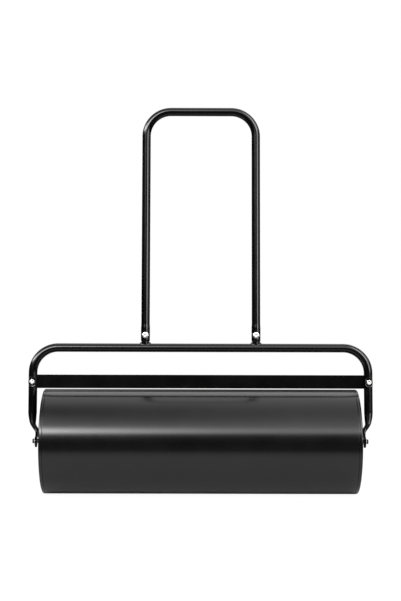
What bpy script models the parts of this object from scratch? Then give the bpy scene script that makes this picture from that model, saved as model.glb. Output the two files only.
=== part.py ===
"""Lawn roller: a water-filled steel drum in a bent tube frame, pushed or pulled by a bolted-on U handle.

Metres, +Z up. X runs along the axle, -Y is the front, and the origin is on the ground under the
middle of the drum. Frame, cross bar and handle stand in one plane that leans back about the axle.
Lengths along that plane are measured from the axle, which is the origin of the frame's own axes.
"""
from math import cos, pi, radians, sin, sqrt

import bmesh
import bpy
from mathutils import Vector

# Drum
DRUM_LENGTH = 0.9144
DRUM_RADIUS = 0.152
DRUM_STEPS = 48
SHELL_WALL = 0.0012
CAP_FLANGE = 0.010
CAP_CORNER = 0.006
CAP_SPIGOT = 0.014
CAP_WALL = 0.0012
DISH_DEPTH = 0.010
DISH_RADIUS = 0.118
DISH_RIM = 0.134
RIM_EXTRA = 0.002
DISH_DRAFT = 0.001

# Axle
AXLE_ROD_RADIUS = 0.006
AXLE_TUBE_RADIUS = 0.011
AXLE_TUBE_BORE = 0.009
AXLE_TUBE_HALF = 0.470
BUSH_FLANGE_RADIUS = 0.0112
BUSH_FLANGE = 0.003
BUSH_DEPTH = 0.024

# Fill opening in the right-hand end cap
FILL_OFFSET = 0.088
BUNG_RADIUS = 0.020
BUNG_BORE = 0.014
BUNG_PROUD = 0.0015
BUNG_DEPTH = 0.007
PLUG_HEAD_RADIUS = 0.019
PLUG_HEAD = 0.0035
PLUG_GRIP_FLATS = 0.022
PLUG_GRIP = 0.006
PLUG_SHANK = 0.011
THREAD_GAP = 0.0006
GASKET = 0.0018
GASKET_INSET = 0.0005

# Frame tube, bar and handle
LEAN = radians(4.6)
FRAME_TUBE_RADIUS = 0.0127
FRAME_TUBE_WALL = 0.0018
FRAME_HALF_WIDTH = 0.493
FRAME_TOP = 0.274
BEND_RADIUS = 0.0735
BEND_STEPS = 6
TUBE_SIDES = 16
TAB_THICKNESS = 0.005
TAB_CENTRE = 0.4815
TAB_TURNS = (84, 66, 45, 22)
# (height, centre, thickness) of the left leg from the tab's bend up through the crimp
CRIMP = ((0.008, TAB_CENTRE, TAB_THICKNESS), (0.015, 0.4797, TAB_THICKNESS), (0.021, 0.4792, 0.0052),
         (0.0265, 0.4793, 0.0064), (0.032, 0.4808, 0.0104), (0.038, 0.4840, 0.0138), (0.049, 0.4905, 0.0146),
         (0.062, 0.4920, 0.0203), (0.074, 0.4927, 0.0236))
CRIMP_TOP = 0.084
BORE_FOOT = 0.092
BAR_HEIGHT = 0.040
BAR_THICKNESS = 0.004
BAR_BOTTOM = 0.1546
BAR_HALF_LENGTH = 0.504
BAR_SHOULDER = 0.481
BAR_END_HEIGHT = 0.028
BAR_BOLT_RISE = 0.018
HANDLE_TUBE_RADIUS = 0.0125
HANDLE_BORE = 0.0109
HANDLE_HALF_WIDTH = 0.163
HANDLE_TOP = 0.9795
HANDLE_END = FRAME_TOP + 0.0182
HANDLE_SWELL_RADIUS = 0.0132
HANDLE_SWELL = 0.040
HANDLE_LIP = 0.0006
HANDLE_LIP_HEIGHT = 0.004
HANDLE_SHOULDER = 0.012
HANDLE_BOLT_HEIGHT = FRAME_TOP + 0.0363
STUB_RADIUS = 0.0106
STUB_BORE = 0.0088
STUB_TOP = FRAME_TOP + 0.062
WELD_RADIUS = 0.0160
WELD_HEIGHT = WELD_RADIUS - STUB_RADIUS
WELD_SKIRT = 0.008

# M8 fasteners
BOLT_RADIUS = 0.004
BOLT_HOLE = 0.0043
HEX_FLATS = 0.013
HEAD_HEIGHT = 0.0053
NUT_HEIGHT = 0.0065
NUT_COLLAR = 0.0015
COLLAR_INSET = 0.0004
AXLE_BOLT_SHANK = 0.024
LEG_BOLT_SHANK = 0.046
HANDLE_BOLT_SHANK = 0.038
TAPPED_DEPTH = 0.022
WASHER_RADIUS = 0.008
WASHER = 0.0016
FLANGE_RADIUS = 0.0092
FLANGE = 0.0018
SADDLE_WIDTH = 0.022
SADDLE_HEIGHT = 0.029
SADDLE = 0.0028
SADDLE_WRAP = 0.006
SADDLE_CORNER = 0.0015

GAP = 0.0003
OVERLAP = 0.001
CUT_REACH = 0.05
MERGE = 0.00001
ROUND_SIDES = 24
WASHER_SIDES = 16
COPE_SIDES = 32
WELD_STEPS = 4
CAP_CORNER_STEPS = 2
SHARP_ANGLE = radians(35)
FLAT_ANGLE = radians(1)
AXLE_HEIGHT = DRUM_RADIUS
DRUM_END = DRUM_LENGTH / 2
TAB_OUTER = TAB_CENTRE + TAB_THICKNESS / 2
TAB_INNER = TAB_CENTRE - TAB_THICKNESS / 2
BAR_MIDDLE = BAR_BOTTOM + BAR_HEIGHT / 2
BOLT_ROW = BAR_BOTTOM + BAR_BOLT_RISE
SIDES = {"left": -1, "right": 1}


# ---------------------------------------------------------------- scene, materials, small helpers

def clear_scene():
    for obj in list(bpy.data.objects):
        bpy.data.objects.remove(obj, do_unlink=True)


def collection(name):
    made = bpy.data.collections.new(name)
    bpy.context.scene.collection.children.link(made)
    return made


def material(name, colour, roughness, metallic=0.0):
    made = bpy.data.materials.new(name)
    made.use_nodes = True
    shader = made.node_tree.nodes["Principled BSDF"]
    shader.inputs["Base Color"].default_value = (*colour, 1.0)
    shader.inputs["Roughness"].default_value = roughness
    shader.inputs["Metallic"].default_value = metallic
    made.diffuse_color = (*colour, 1.0)
    return made


def empty(name, location, parent=None, lean=0.0):
    made = bpy.data.objects.new(name, None)
    made.location = location
    made.rotation_euler.x = lean
    made.parent = parent
    PARTS.objects.link(made)
    return made


def place(obj, parent, location=(0, 0, 0), rotation=(0, 0, 0)):
    obj.parent = parent
    obj.location = location
    obj.rotation_euler = rotation
    return obj


def part(name, mesh, mat, smooth=True):
    obj = bpy.data.objects.new(name, mesh)
    mesh.materials.append(mat)
    if smooth:
        mesh.shade_smooth()
        mesh.set_sharp_from_angle(angle=SHARP_ANGLE)
    PARTS.objects.link(obj)
    return obj


def as_cutter(obj):
    for owner in list(obj.users_collection):
        owner.objects.unlink(obj)
    CUTTERS.objects.link(obj)
    obj.hide_render = True
    obj.display_type = 'WIRE'
    return obj


def combine(obj, other, operation='DIFFERENCE'):
    boolean = obj.modifiers.new(operation.title(), 'BOOLEAN')
    boolean.operation = operation
    boolean.solver = 'EXACT'
    boolean.object = as_cutter(other)
    return obj


# ---------------------------------------------------------------- shapes

def cylinder_mesh(radius, low, high, sides=ROUND_SIDES):
    """A prism about Z from low to high."""
    bm = bmesh.new()
    bmesh.ops.create_cone(bm, cap_ends=True, segments=sides, radius1=radius, radius2=radius,
                          depth=high - low)
    bmesh.ops.translate(bm, verts=bm.verts, vec=(0, 0, (low + high) / 2))
    mesh = bpy.data.meshes.new("cylinder")
    bm.to_mesh(mesh)
    bm.free()
    return mesh


def block_mesh(size, centre=(0, 0, 0)):
    bm = bmesh.new()
    bmesh.ops.create_cube(bm, size=1.0)
    bmesh.ops.scale(bm, verts=bm.verts, vec=size)
    bmesh.ops.translate(bm, verts=bm.verts, vec=centre)
    mesh = bpy.data.meshes.new("block")
    bm.to_mesh(mesh)
    bm.free()
    return mesh


def turned_mesh(profile, phase=0.0):
    """A closed profile of (radius, height) points that runs down its outer side."""
    mesh = bpy.data.meshes.new("profile")
    points = [(r * cos(phase), r * sin(phase), z) for r, z in profile]
    edges = [(i, (i + 1) % len(points)) for i in range(len(points))]
    mesh.from_pydata(points, edges, [])
    return mesh


def turned(name, profile, mat, steps=ROUND_SIDES, phase=0.0):
    obj = part(name, turned_mesh(profile, phase), mat, smooth=False)
    screw = obj.modifiers.new("Turn", 'SCREW')
    screw.axis = 'Z'
    screw.angle = 2 * pi
    screw.steps = steps
    screw.render_steps = steps
    screw.use_merge_vertices = True
    screw.merge_threshold = MERGE
    return obj


def ring(name, bore, radius, low, high, mat, steps=ROUND_SIDES, phase=0.0):
    return turned(name, [(radius, high), (radius, low), (bore, low), (bore, high)], mat, steps, phase)


def arc(centre, radius, start, end, steps):
    """Points on a circle about centre, angles in degrees."""
    turns = [radians(start + (end - start) * i / steps) for i in range(steps + 1)]
    return [(centre[0] + radius * cos(a), centre[1] + radius * sin(a)) for a in turns]


def tube_mesh(points, radii, sides):
    """A swept tube with filled ends, from a curve whose points carry their own radius."""
    curve = bpy.data.curves.new("sweep", 'CURVE')
    curve.dimensions = '3D'
    curve.bevel_depth = 1.0
    curve.bevel_resolution = (sides - 4) // 2
    curve.use_fill_caps = True
    spline = curve.splines.new('POLY')
    spline.points.add(len(points) - 1)
    for point, place_on_path, radius in zip(spline.points, points, radii):
        point.co = (*place_on_path, 1.0)
        point.radius = radius
    sweep = bpy.data.objects.new("sweep", curve)
    PARTS.objects.link(sweep)
    evaluated = sweep.evaluated_get(bpy.context.evaluated_depsgraph_get())
    mesh = bpy.data.meshes.new_from_object(evaluated)
    bpy.data.objects.remove(sweep, do_unlink=True)
    bpy.data.curves.remove(curve)
    bm = bmesh.new()
    bm.from_mesh(mesh)
    bmesh.ops.remove_doubles(bm, verts=bm.verts, dist=MERGE)
    bmesh.ops.recalc_face_normals(bm, faces=bm.faces)
    bm.to_mesh(mesh)
    bm.free()
    return mesh


def u_path(half_width, low, top):
    """The left half of an upright U tube's centreline, from its foot to just before the middle."""
    corner = (-half_width + BEND_RADIUS, top - BEND_RADIUS)
    bend = arc(corner, BEND_RADIUS, 180, 90, BEND_STEPS)
    return [(-half_width, low)] + bend


def whole_u(half_width, low, top):
    half = u_path(half_width, low, top)
    whole = half + [(-x, z) for x, z in reversed(half)]
    return [(x, 0.0, z) for x, z in whole]


# ---------------------------------------------------------------- fasteners, made about their own Z axis

def hex_radius(flats):
    return flats / 2 / cos(pi / 6)


def hex_bolt(name, shank, mat, flange=False):
    """Head above z = 0, shank below it."""
    foot = FLANGE if flange else 0.0
    bolt = part(name, cylinder_mesh(hex_radius(HEX_FLATS), foot, HEAD_HEIGHT + foot, 6), mat, smooth=False)
    combine(bolt, part(name + "_shank", cylinder_mesh(BOLT_RADIUS, -shank, foot + OVERLAP), mat), 'UNION')
    if flange:
        rim = cylinder_mesh(FLANGE_RADIUS, 0.0, FLANGE + OVERLAP / 2)
        combine(bolt, part(name + "_flange", rim, mat), 'UNION')
    return bolt


def lock_nut(name, mat):
    """Seat at z = 0, nylon-ring collar above the hexagon."""
    nut = part(name, cylinder_mesh(hex_radius(HEX_FLATS), 0.0, NUT_HEIGHT, 6), mat, smooth=False)
    collar = cylinder_mesh(HEX_FLATS / 2 - COLLAR_INSET, NUT_HEIGHT - OVERLAP, NUT_HEIGHT + NUT_COLLAR)
    combine(nut, part(name + "_collar", collar, mat), 'UNION')
    bore = cylinder_mesh(BOLT_HOLE, -CUT_REACH, CUT_REACH)
    return combine(nut, part(name + "_bore", bore, mat))


def flat_washer(name, mat):
    return ring(name, BOLT_HOLE, WASHER_RADIUS, 0.0, WASHER, mat, WASHER_SIDES)


def drum_shell(mat, parent):
    half = DRUM_END - CAP_FLANGE - GAP
    flat = cos(pi / DRUM_STEPS)
    outer = DRUM_RADIUS / flat
    shell = ring("drum_shell", DRUM_RADIUS - SHELL_WALL, outer, -half, half, mat, DRUM_STEPS, pi / DRUM_STEPS)
    return place(shell, parent, rotation=(0, pi / 2, 0))


def cap_profile():
    """Outside face at height 0; the flange and spigot run down to the shell."""
    rim = DRUM_RADIUS / cos(pi / DRUM_STEPS)
    spigot = DRUM_RADIUS - SHELL_WALL - 2 * GAP
    inner = spigot - CAP_WALL
    hub = AXLE_TUBE_RADIUS + GAP
    bottom = -DISH_DEPTH
    under_rim = -CAP_WALL - RIM_EXTRA
    points = [(hub, bottom), (DISH_RADIUS, bottom), (DISH_RIM, 0.0)]
    points += arc((rim - CAP_CORNER, -CAP_CORNER), CAP_CORNER, 90, 0, CAP_CORNER_STEPS)
    points += [(rim, -CAP_FLANGE), (spigot, -CAP_FLANGE)]
    points += [(spigot, -CAP_FLANGE - CAP_SPIGOT), (inner, -CAP_FLANGE - CAP_SPIGOT)]
    points += [(inner, -CAP_FLANGE), (inner - CAP_CORNER, under_rim)]
    points += [(DISH_RIM + DISH_DRAFT, under_rim), (DISH_RADIUS + DISH_DRAFT, bottom - CAP_WALL)]
    points += [(hub, bottom - CAP_WALL)]
    return points


def end_cap(side, mat, parent):
    """A pressed, dished end whose spigot fits inside the shell."""
    sign = SIDES[side]
    cap = turned("end_cap_" + side, cap_profile(), mat, DRUM_STEPS, pi / DRUM_STEPS)
    if side == "right":
        hole = cylinder_mesh(BUNG_RADIUS + GAP, -CUT_REACH, CUT_REACH)
        for vert in hole.vertices:
            vert.co.x += FILL_OFFSET
        hole_obj = part("bung_hole", hole, mat)
        place(hole_obj, parent, (DRUM_END, 0, 0), (0, sign * pi / 2, 0))
        combine(cap, hole_obj)
    return place(cap, parent, (sign * DRUM_END, 0, 0), (0, sign * pi / 2, 0))


def axle_tube(mat, parent):
    tube = ring("axle_tube", AXLE_TUBE_BORE, AXLE_TUBE_RADIUS, -AXLE_TUBE_HALF, AXLE_TUBE_HALF, mat)
    return place(tube, parent, rotation=(0, pi / 2, 0))


def hub_bush(side, mat, parent):
    """A flanged plain bearing pressed into the end of the axle tube; its flange seat is height 0."""
    bore = AXLE_ROD_RADIUS + GAP
    body = AXLE_TUBE_BORE - GAP
    low = -BUSH_DEPTH
    profile = [(BUSH_FLANGE_RADIUS, BUSH_FLANGE), (BUSH_FLANGE_RADIUS, 0.0), (body, 0.0)]
    profile += [(body, low), (bore, low), (bore, BUSH_FLANGE)]
    bush = turned("hub_bush_" + side, profile, mat)
    sign = SIDES[side]
    return place(bush, parent, (sign * (AXLE_TUBE_HALF + GAP), 0, 0), (0, sign * pi / 2, 0))


def fill_opening(parent):
    """Bung, gasket and plug about the plug's own axis, which stands at height 0 in the dish."""
    dish = empty("fill_axis", (DRUM_END - DISH_DEPTH, 0, -FILL_OFFSET), parent)
    upright = (0, pi / 2, 0)
    seat = BUNG_PROUD + GAP
    bung = ring("fill_bung", BUNG_BORE, BUNG_RADIUS, -BUNG_DEPTH, BUNG_PROUD, DRUM_PAINT)
    place(bung, dish, rotation=upright)
    gasket = ring("fill_gasket", BUNG_BORE, PLUG_HEAD_RADIUS - GASKET_INSET, seat, seat + GASKET, RUBBER)
    place(gasket, dish, rotation=upright)
    head = seat + GASKET + GAP
    top = head + PLUG_HEAD
    plug = part("fill_plug", cylinder_mesh(PLUG_HEAD_RADIUS, head, top), PLASTIC)
    shank = cylinder_mesh(BUNG_BORE - THREAD_GAP, head - PLUG_SHANK, head + OVERLAP)
    combine(plug, part("plug_shank", shank, PLASTIC), 'UNION')
    grip = cylinder_mesh(hex_radius(PLUG_GRIP_FLATS), top - OVERLAP, top + PLUG_GRIP, 6)
    combine(plug, part("plug_grip", grip, PLASTIC), 'UNION')
    for obj in (plug, bpy.data.objects["plug_shank"], bpy.data.objects["plug_grip"]):
        place(obj, dish, rotation=upright)


# ---------------------------------------------------------------- frame

def flattened_width(thickness):
    """Width of a round tube that is pressed to this thickness without stretching."""
    return (2 * pi * FRAME_TUBE_RADIUS - pi * thickness) / 2 + thickness


TAB_HALF = flattened_width(TAB_THICKNESS) / 2


def leg_sections():
    """(height, centre, thickness) up the left leg: bolted tab, crimp that bulges inwards, round tube."""
    tab = [(-TAB_HALF * sin(radians(a)), TAB_CENTRE, TAB_THICKNESS) for a in TAB_TURNS]
    return tab + list(CRIMP) + [(CRIMP_TOP, FRAME_HALF_WIDTH, 2 * FRAME_TUBE_RADIUS)]


def oval(centre, across, thickness, width):
    """Corners of a flat oval: thickness along across, width along Y."""
    corners = []
    for i in range(TUBE_SIDES):
        angle = 2 * pi * (i + 0.5) / TUBE_SIDES
        straight = (width - thickness) / 2 * (1 if sin(angle) > 0 else -1)
        y = straight + thickness / 2 * sin(angle)
        corners.append(centre + across * (thickness / 2 * cos(angle)) + Vector((0, y, 0)))
    return corners


def frame_rings():
    rings = []
    for height, centre, thickness in leg_sections():
        width = flattened_width(thickness)
        if height < 0:
            width = 2 * sqrt(TAB_HALF ** 2 - height ** 2)
        rings.append(oval(Vector((-centre, 0, height)), Vector((1, 0, 0)), thickness, width))
    corner = Vector((-FRAME_HALF_WIDTH + BEND_RADIUS, 0, FRAME_TOP - BEND_RADIUS))
    size = 2 * FRAME_TUBE_RADIUS
    for i in range(BEND_STEPS + 1):
        turn = pi / 2 * i / BEND_STEPS
        inward = Vector((cos(turn), 0, -sin(turn)))
        rings.append(oval(corner - inward * BEND_RADIUS, inward, size, size))
    rings.append(oval(Vector((0, 0, FRAME_TOP)), Vector((0, 0, -1)), size, size))
    return rings


def loft_mesh(rings):
    """Faces between successive rings, with the first ring closed and the last left open."""
    bm = bmesh.new()
    loops = [[bm.verts.new(co) for co in corners] for corners in rings]
    count = len(loops[0])
    for lower, upper in zip(loops, loops[1:]):
        for i in range(count):
            j = (i + 1) % count
            bm.faces.new((lower[i], lower[j], upper[j], upper[i]))
    bm.faces.new(list(reversed(loops[0])))
    mesh = bpy.data.meshes.new("loft")
    bm.to_mesh(mesh)
    bm.free()
    return mesh


def across_bore(name, x, z, parent):
    """A bolt hole through the frame's plane, along Y."""
    hole = part(name, cylinder_mesh(BOLT_HOLE, -CUT_REACH, CUT_REACH), FRAME_PAINT)
    return place(hole, parent, (x, 0, z), (pi / 2, 0, 0))


def frame_tube(mat, parent):
    tube = part("frame_tube", loft_mesh(frame_rings()), mat)
    mirror = tube.modifiers.new("Other half", 'MIRROR')
    mirror.merge_threshold = MERGE
    bore_radius = FRAME_TUBE_RADIUS - FRAME_TUBE_WALL
    path = whole_u(FRAME_HALF_WIDTH, BORE_FOOT, FRAME_TOP)
    bore = part("frame_bore", tube_mesh(path, [bore_radius] * len(path), TUBE_SIDES), mat)
    combine(tube, place(bore, parent))
    for side, sign in SIDES.items():
        combine(tube, across_bore("leg_hole_" + side, sign * FRAME_HALF_WIDTH, BOLT_ROW, parent))
        hole = part("tab_hole_" + side, cylinder_mesh(BOLT_HOLE, -CUT_REACH, CUT_REACH), mat)
        combine(tube, place(hole, parent, (sign * TAB_CENTRE, 0, 0), (0, pi / 2, 0)))
    return place(tube, parent)


def cross_bar(mat, parent):
    """The flat bar behind the legs, just clear of the drum's top; its ends taper so the legs hide them."""
    curve = bpy.data.curves.new("bar_outline", 'CURVE')
    curve.dimensions = '2D'
    curve.fill_mode = 'BOTH'
    curve.extrude = BAR_THICKNESS / 2
    spline = curve.splines.new('POLY')
    top, end = BAR_HEIGHT / 2, BAR_END_HEIGHT / 2
    right = [(BAR_SHOULDER, -top), (BAR_HALF_LENGTH, -end), (BAR_HALF_LENGTH, end), (BAR_SHOULDER, top)]
    outline = right + [(-x, -y) for x, y in right]
    spline.points.add(len(outline) - 1)
    for point, (x, y) in zip(spline.points, outline):
        point.co = (x, y, 0.0, 1.0)
    spline.use_cyclic_u = True
    flat = bpy.data.objects.new("bar_outline", curve)
    PARTS.objects.link(flat)
    mesh = bpy.data.meshes.new_from_object(flat.evaluated_get(bpy.context.evaluated_depsgraph_get()))
    bpy.data.objects.remove(flat, do_unlink=True)
    bm = bmesh.new()
    bm.from_mesh(mesh)
    bmesh.ops.remove_doubles(bm, verts=bm.verts, dist=MERGE)
    bmesh.ops.dissolve_limit(bm, angle_limit=FLAT_ANGLE, verts=bm.verts, edges=bm.edges)
    bmesh.ops.recalc_face_normals(bm, faces=bm.faces)
    bm.to_mesh(mesh)
    bm.free()
    bar = part("cross_bar", mesh, mat, smooth=False)
    for side, sign in SIDES.items():
        combine(bar, across_bore("bar_hole_" + side, sign * FRAME_HALF_WIDTH, BOLT_ROW, parent))
    behind = FRAME_TUBE_RADIUS + GAP + BAR_THICKNESS / 2
    return place(bar, parent, (0, behind, BAR_MIDDLE), (pi / 2, 0, 0))


def axle(parent):
    """The fixed rod between the tabs, with a bolt and washer screwed into each tapped end."""
    half = TAB_INNER - GAP
    rod = part("axle_rod", cylinder_mesh(AXLE_ROD_RADIUS, -half, half), FRAME_PAINT)
    upright = (0, pi / 2, 0)
    for side, sign in SIDES.items():
        tapped = part("tapped_" + side, cylinder_mesh(BOLT_HOLE, -TAPPED_DEPTH, CUT_REACH), FRAME_PAINT)
        combine(rod, place(tapped, parent, (sign * half, 0, 0), (0, sign * pi / 2, 0)))
        outward = (0, sign * pi / 2, 0)
        at = TAB_OUTER + GAP
        place(flat_washer("axle_washer_" + side, ZINC), parent, (sign * at, 0, 0), outward)
        at += WASHER + GAP
        bolt = hex_bolt("axle_bolt_" + side, AXLE_BOLT_SHANK, FRAME_PAINT)
        seat_bolt(bolt, parent, (sign * at, 0, 0), outward)
    return place(rod, parent, rotation=upright)


def seat_bolt(bolt, parent, location, rotation):
    """Places a bolt together with the solids that its Boolean modifiers join to it."""
    place(bolt, parent, location, rotation)
    for modifier in bolt.modifiers:
        place(modifier.object, parent, location, rotation)
    return bolt


def saddle(name, mat, parent, x, z):
    """A block whose back is hollowed to sit on the front of the leg tube."""
    depth = SADDLE + SADDLE_WRAP
    front = FRAME_TUBE_RADIUS + GAP + SADDLE
    block = block_mesh((SADDLE_WIDTH, depth, SADDLE_HEIGHT), (0, depth / 2 - front, 0))
    obj = part(name, block, mat, smooth=False)
    bevel = obj.modifiers.new("Corners", 'BEVEL')
    bevel.segments = 2
    bevel.limit_method = 'NONE'
    bevel.affect = 'EDGES'
    bevel.width = SADDLE_CORNER
    seat = cylinder_mesh(FRAME_TUBE_RADIUS + GAP, -CUT_REACH, CUT_REACH, COPE_SIDES)
    hollow = part(name + "_hollow", seat, mat)
    combine(obj, place(hollow, parent, (x, 0, z)))
    combine(obj, across_bore(name + "_hole", x, z, parent))
    return place(obj, parent, (x, 0, z))


def leg_fasteners(side, parent):
    x = SIDES[side] * FRAME_HALF_WIDTH
    front = -(FRAME_TUBE_RADIUS + SADDLE + 2 * GAP)
    saddle("leg_saddle_" + side, FRAME_PAINT, parent, x, BOLT_ROW)
    bolt = hex_bolt("leg_bolt_" + side, LEG_BOLT_SHANK, ZINC)
    seat_bolt(bolt, parent, (x, front, BOLT_ROW), (pi / 2, 0, 0))
    back = FRAME_TUBE_RADIUS + BAR_THICKNESS + 2 * GAP
    washer = flat_washer("leg_washer_" + side, ZINC)
    place(washer, parent, (x, back, BOLT_ROW), (-pi / 2, 0, 0))
    nut = lock_nut("leg_nut_" + side, ZINC)
    seat_bolt(nut, parent, (x, back + WASHER + GAP, BOLT_ROW), (-pi / 2, 0, 0))


# ---------------------------------------------------------------- handle

def handle_stub(side, mat, parent):
    """A short tube welded to the top of the frame; its foot and weld bead are coped to the frame tube."""
    x = SIDES[side] * HANDLE_HALF_WIDTH
    foot = FRAME_TUBE_RADIUS
    top = STUB_TOP - FRAME_TOP
    weld = arc((WELD_RADIUS, foot + WELD_HEIGHT), WELD_HEIGHT, 180, 270, WELD_STEPS)
    profile = [(STUB_RADIUS, top)] + weld[:-1]
    profile += [(WELD_RADIUS, foot + OVERLAP), (WELD_RADIUS, WELD_SKIRT)]
    profile += [(STUB_BORE, WELD_SKIRT), (STUB_BORE, top)]
    stub = turned("handle_stub_" + side, profile, mat)
    seat = cylinder_mesh(FRAME_TUBE_RADIUS + GAP, -CUT_REACH, CUT_REACH, COPE_SIDES)
    cope = part("cope_" + side, seat, mat)
    combine(stub, place(cope, parent, (x, 0, FRAME_TOP), (0, pi / 2, 0)))
    combine(stub, across_bore("stub_hole_" + side, x, HANDLE_BOLT_HEIGHT, parent))
    return place(stub, parent, (x, 0, FRAME_TOP))


def handle_tube(mat, parent):
    """A U tube, swollen where it slips over the stubs and rolled in at its ends."""
    shoulder = HANDLE_END + HANDLE_SWELL
    heights = [HANDLE_END, HANDLE_END + HANDLE_LIP_HEIGHT, shoulder, shoulder + HANDLE_SHOULDER]
    swell = [HANDLE_BORE + HANDLE_LIP, HANDLE_SWELL_RADIUS, HANDLE_SWELL_RADIUS, HANDLE_TUBE_RADIUS]
    upper = u_path(HANDLE_HALF_WIDTH, heights[-1], HANDLE_TOP)
    half = [(-HANDLE_HALF_WIDTH, z) for z in heights[:-1]] + upper
    radii = swell + [HANDLE_TUBE_RADIUS] * (len(upper) - 1)
    points = [(x, 0.0, z) for x, z in half] + [(-x, 0.0, z) for x, z in reversed(half)]
    handle = part("handle_tube", tube_mesh(points, radii + radii[::-1], TUBE_SIDES), mat)
    path = whole_u(HANDLE_HALF_WIDTH, HANDLE_END - CUT_REACH, HANDLE_TOP)
    bore = part("handle_bore", tube_mesh(path, [HANDLE_BORE] * len(path), TUBE_SIDES), mat)
    combine(handle, place(bore, parent))
    for side, sign in SIDES.items():
        x = sign * HANDLE_HALF_WIDTH
        combine(handle, across_bore("handle_hole_" + side, x, HANDLE_BOLT_HEIGHT, parent))
    return place(handle, parent)


def handle_fasteners(side, parent):
    x = SIDES[side] * HANDLE_HALF_WIDTH
    seat = HANDLE_SWELL_RADIUS + GAP
    bolt = hex_bolt("handle_bolt_" + side, HANDLE_BOLT_SHANK, ZINC, flange=True)
    seat_bolt(bolt, parent, (x, -seat, HANDLE_BOLT_HEIGHT), (pi / 2, 0, 0))
    washer = flat_washer("handle_washer_" + side, ZINC)
    place(washer, parent, (x, seat, HANDLE_BOLT_HEIGHT), (-pi / 2, 0, 0))
    nut = lock_nut("handle_nut_" + side, ZINC)
    seat_bolt(nut, parent, (x, seat + WASHER + GAP, HANDLE_BOLT_HEIGHT), (-pi / 2, 0, 0))


# ---------------------------------------------------------------- the roller

def build_drum():
    turning = empty("drum_axis", (0, 0, AXLE_HEIGHT))
    drum_shell(DRUM_PAINT, turning)
    axle_tube(DRUM_PAINT, turning)
    for side in SIDES:
        end_cap(side, DRUM_PAINT, turning)
        hub_bush(side, NYLON, turning)
    fill_opening(turning)


def build_frame():
    leaning = empty("frame_plane", (0, 0, AXLE_HEIGHT), lean=-LEAN)
    frame_tube(FRAME_PAINT, leaning)
    cross_bar(FRAME_PAINT, leaning)
    axle(leaning)
    handle_tube(FRAME_PAINT, leaning)
    for side in SIDES:
        leg_fasteners(side, leaning)
        handle_stub(side, FRAME_PAINT, leaning)
        handle_fasteners(side, leaning)


clear_scene()
PARTS = collection("lawn_roller")
CUTTERS = collection("cutters")
DRUM_PAINT = material("drum_paint", (0.012, 0.012, 0.012), 0.22)
FRAME_PAINT = material("frame_paint", (0.010, 0.010, 0.010), 0.30)
ZINC = material("zinc_plate", (0.80, 0.80, 0.80), 0.28, 1.0)
NYLON = material("nylon", (0.62, 0.61, 0.57), 0.50)
RUBBER = material("rubber", (0.02, 0.02, 0.02), 0.80)
PLASTIC = material("plug_plastic", (0.015, 0.015, 0.015), 0.45)
build_drum()
build_frame()
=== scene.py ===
"""Lawn roller: fine surfaces, paint, camera and studio light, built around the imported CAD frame.

Metres, +Z up, the axle along X and the front towards -Y. Frame, bar and handle are made in the axes
of the plane they stand in, which leans back about the axle; the drum's pieces about the axle itself.
"""
from math import asin, cos, pi, radians, sin, sqrt, tan

import bmesh
import bpy
from mathutils import Matrix, Vector, noise


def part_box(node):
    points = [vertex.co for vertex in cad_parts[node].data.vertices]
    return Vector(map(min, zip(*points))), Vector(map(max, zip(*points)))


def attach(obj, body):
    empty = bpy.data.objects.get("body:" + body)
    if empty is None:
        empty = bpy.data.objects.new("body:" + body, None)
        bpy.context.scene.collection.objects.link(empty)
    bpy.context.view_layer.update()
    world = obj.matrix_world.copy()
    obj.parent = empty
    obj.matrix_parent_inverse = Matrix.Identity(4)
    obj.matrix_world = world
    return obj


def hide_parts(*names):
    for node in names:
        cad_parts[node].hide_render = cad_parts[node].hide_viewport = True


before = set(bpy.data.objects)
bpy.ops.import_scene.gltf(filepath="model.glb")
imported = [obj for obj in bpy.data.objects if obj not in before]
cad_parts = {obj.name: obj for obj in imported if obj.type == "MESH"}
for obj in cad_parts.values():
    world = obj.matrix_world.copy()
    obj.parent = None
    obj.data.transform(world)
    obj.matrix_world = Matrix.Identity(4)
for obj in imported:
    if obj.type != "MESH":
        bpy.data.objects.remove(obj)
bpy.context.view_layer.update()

SIDES = {"left": -1, "right": 1}
UP = Vector((0, 0, 1))
RIGHT = Vector((1, 0, 0))
FRONT = Vector((0, -1, 0))
BACK = Vector((0, 1, 0))

# Sizes that repeat the CAD's driving dimensions, unless a comment says otherwise
LEAN = radians(4.6)
FRAME_RADIUS = 0.0127
BEND_RADIUS = 0.0735
TAB_CENTRE = 0.4815
TAB_THICKNESS = 0.005
BAR_SHOULDER = 0.481
BAR_END_HEIGHT = 0.028
HANDLE_RADIUS = 0.0125
HANDLE_SWAGE_RADIUS = 0.0132
HANDLE_BORE = 0.0109
STUB_RADIUS = 0.0106
STUB_BORE = 0.0088
BOLT_RADIUS = 0.004
HEX_FLATS = 0.013
HEAD_HEIGHT = 0.0053
FLANGE_HEIGHT = 0.0018
NUT_HEIGHT = 0.0065
NUT_COLLAR = 0.0015
AXLE_BOLT_SHANK = 0.024
LEG_BOLT_SHANK = 0.046
HANDLE_BOLT_SHANK = 0.038
WASHER_RADIUS = 0.008
WASHER_THICKNESS = 0.0016
AXLE_ROD_RADIUS = 0.006
TAPPED_DEPTH = 0.022
DRILLED_DEPTH = 0.024  # to the tip of the drill's cone; the CAD's hole ends flat at the tapped depth
GAP = 0.0003

# Threads, which the CAD leaves plain
BOLT_PITCH = 0.00125
PLUG_PITCH = 0.002


def middle(low, high):
    return (low + high) / 2


AXLE = middle(*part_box("axle_rod"))
LEANING = Matrix.Translation(AXLE) @ Matrix.Rotation(-LEAN, 4, 'X')


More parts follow.
